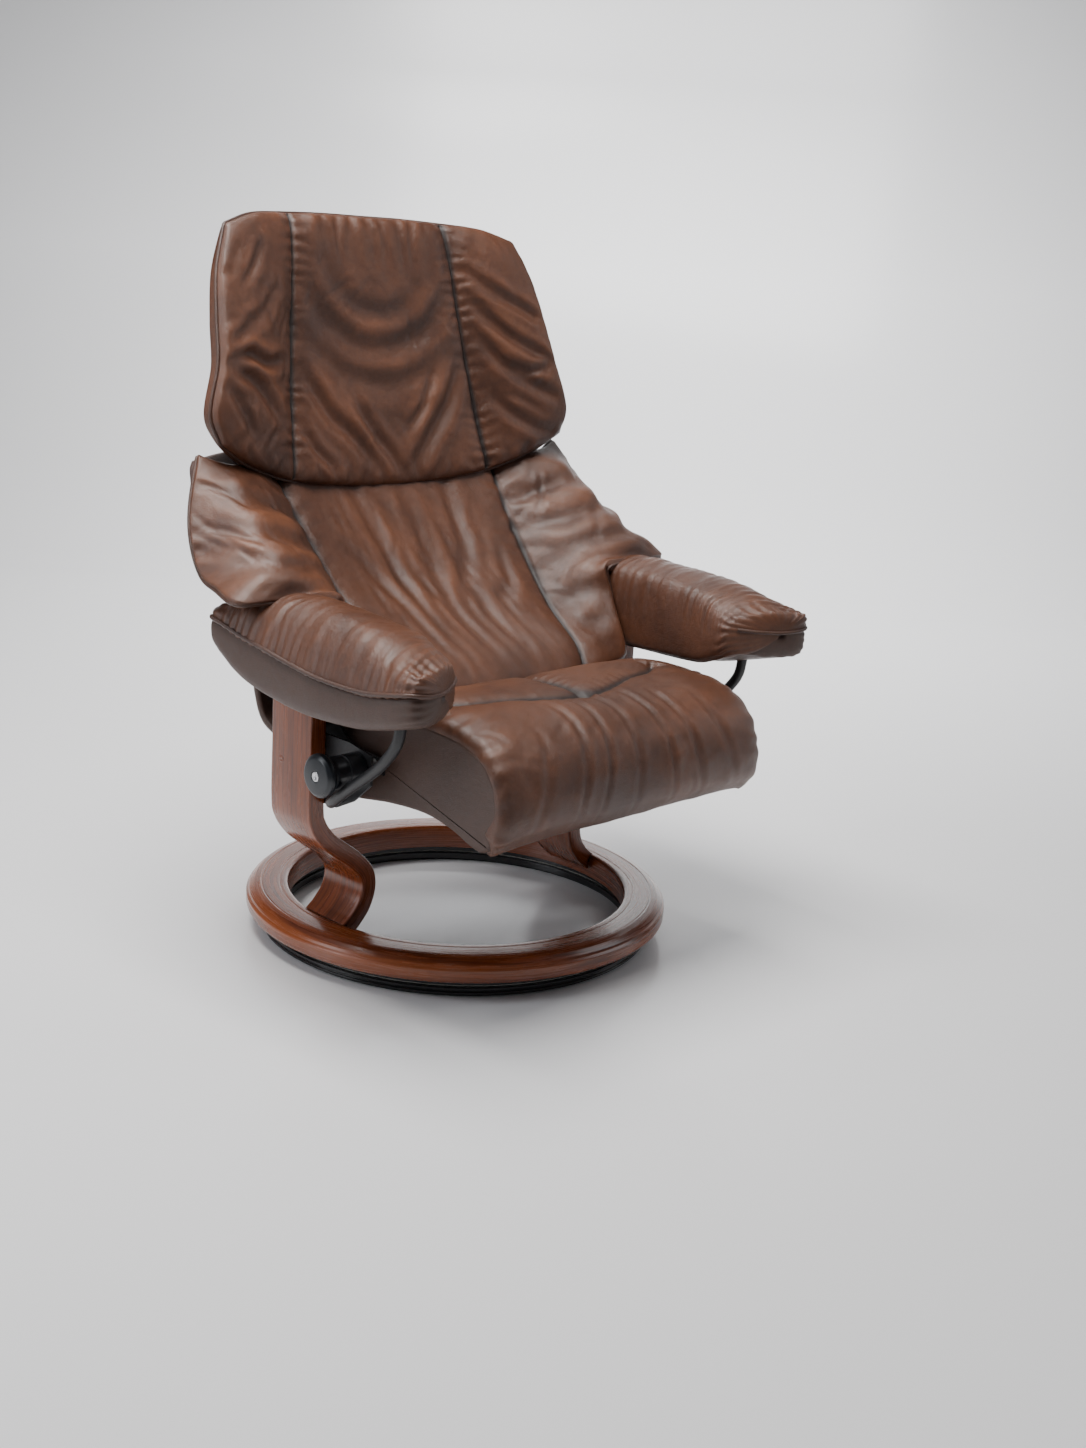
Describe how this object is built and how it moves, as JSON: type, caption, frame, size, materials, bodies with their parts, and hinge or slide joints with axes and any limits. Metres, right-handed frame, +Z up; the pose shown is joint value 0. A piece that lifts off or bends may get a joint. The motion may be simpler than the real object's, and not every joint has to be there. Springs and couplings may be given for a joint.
{
  "type": "recliner armchair",
  "caption": "Swivel recliner armchair on a round wooden ring base, with padded leather seat, winged back, rolled arms and a following headrest.",
  "frame": {"origin": "centre of the overall footprint, on the floor", "axes": "+Z up, -Y to the front of the chair, +X to the sitter's left"},
  "size_m": [0.816, 0.6966, 1.01],
  "materials": {
    "leather": "brown aniline leather, satin",
    "wood": "red-brown stained laminated wood, lacquered",
    "black_steel": "black powder coat",
    "black_plastic": "satin black",
    "bright_steel": "zinc plated or brushed",
    "rubber": "matt",
    "nylon": "natural nylon",
    "plywood": "bare plywood",
    "webbing": "black woven cloth"
  },
  "bodies": {
    "floor_unit": {"floor_gasket": "rubber", "floor_ring": "black_steel", "slip_ring": "nylon"},
    "base": {"swivel_ring": "black_steel", "base_ring": "wood", "cross_tube": "black_steel", "leg_left": "wood", "leg_right": "wood", "leg_plug_left": "wood", "leg_plug_right": "wood", "leg_bolt_left": "bright_steel", "leg_bolt_right": "bright_steel", "side_bracket_left": "black_steel", "side_bracket_right": "black_steel", "clamp_housing_left": "black_plastic", "clamp_housing_right": "black_plastic", "glide_rail_left": "bright_steel", "glide_rail_right": "bright_steel", "arm_stay_left": "black_steel", "arm_stay_right": "black_steel", "arm_core_left": "plywood", "arm_core_right": "plywood", "arm_pad_left": "leather", "arm_pad_right": "leather", "arm_side_panel_left": "leather", "arm_side_panel_right": "leather"},
    "handwheel_left": {"handwheel_left": "black_plastic", "wheel_cap_left": "bright_steel", "clamp_stud_left": "bright_steel"},
    "handwheel_right": {"handwheel_right": "black_plastic", "wheel_cap_right": "bright_steel", "clamp_stud_right": "bright_steel"},
    "seat": {"seat_cushion": "leather", "seat_frame": "black_steel", "dust_cover": "webbing", "seat_side_panel_left": "leather", "seat_side_panel_right": "leather", "seat_side_plate_left": "black_steel", "seat_side_plate_right": "black_steel", "glide_channel_left": "nylon", "glide_channel_right": "nylon", "hinge_pin_left": "bright_steel", "hinge_pin_right": "bright_steel", "seat_spring_1": "bright_steel", "seat_spring_2": "bright_steel", "seat_spring_3": "bright_steel", "seat_spring_4": "bright_steel"},
    "back": {"back_cushion": "leather", "back_shell": "leather", "back_frame": "black_steel", "back_strap_1": "webbing", "back_strap_2": "webbing", "back_wing_left": "leather", "back_wing_right": "leather", "hinge_plate_left": "black_steel", "hinge_plate_right": "black_steel"},
    "head_link": {"head_link": "black_steel"},
    "headrest": {"headrest_cushion": "leather", "headrest_shell": "leather", "headrest_guide": "plywood"}
  },
  "joints": [
    {"name": "swivel", "type": "hinge", "parent": "floor_unit", "child": "base", "pos_m": [0, 0.00652, 0.021], "axis": [0, 0, 1], "continuous": true},
    {"name": "seat_glide", "type": "slide", "parent": "base", "child": "seat", "axis": [0, -0.9703, 0.2419], "range_m": [0, 0.06]},
    {"name": "back_recline", "type": "hinge", "parent": "seat", "child": "back", "pos_m": [0, 0.01652, 0.345], "axis": [-1, 0, 0], "range_deg": [0, 20]},
    {"name": "head_follow", "type": "hinge", "parent": "back", "child": "head_link", "pos_m": [0, 0.25652, 0.584], "axis": [1, 0, 0], "range_deg": [0, 8]},
    {"name": "headrest_height", "type": "slide", "parent": "head_link", "child": "headrest", "axis": [0, 0.225, 0.9744], "range_m": [0, 0.04]},
    {"name": "handwheel_left_turn", "type": "hinge", "parent": "base", "child": "handwheel_left", "pos_m": [0.349, -0.10148, 0.31], "axis": [1, 0, 0], "range_deg": [-180, 180]},
    {"name": "handwheel_right_turn", "type": "hinge", "parent": "base", "child": "handwheel_right", "pos_m": [-0.349, -0.10148, 0.31], "axis": [-1, 0, 0], "range_deg": [-180, 180]}
  ],
  "couplings": [
    {"joint": "seat_glide", "follows": "back_recline", "m_per_rad": 0.1718},
    {"joint": "head_follow", "follows": "back_recline", "ratio": 0.399}
  ]
}
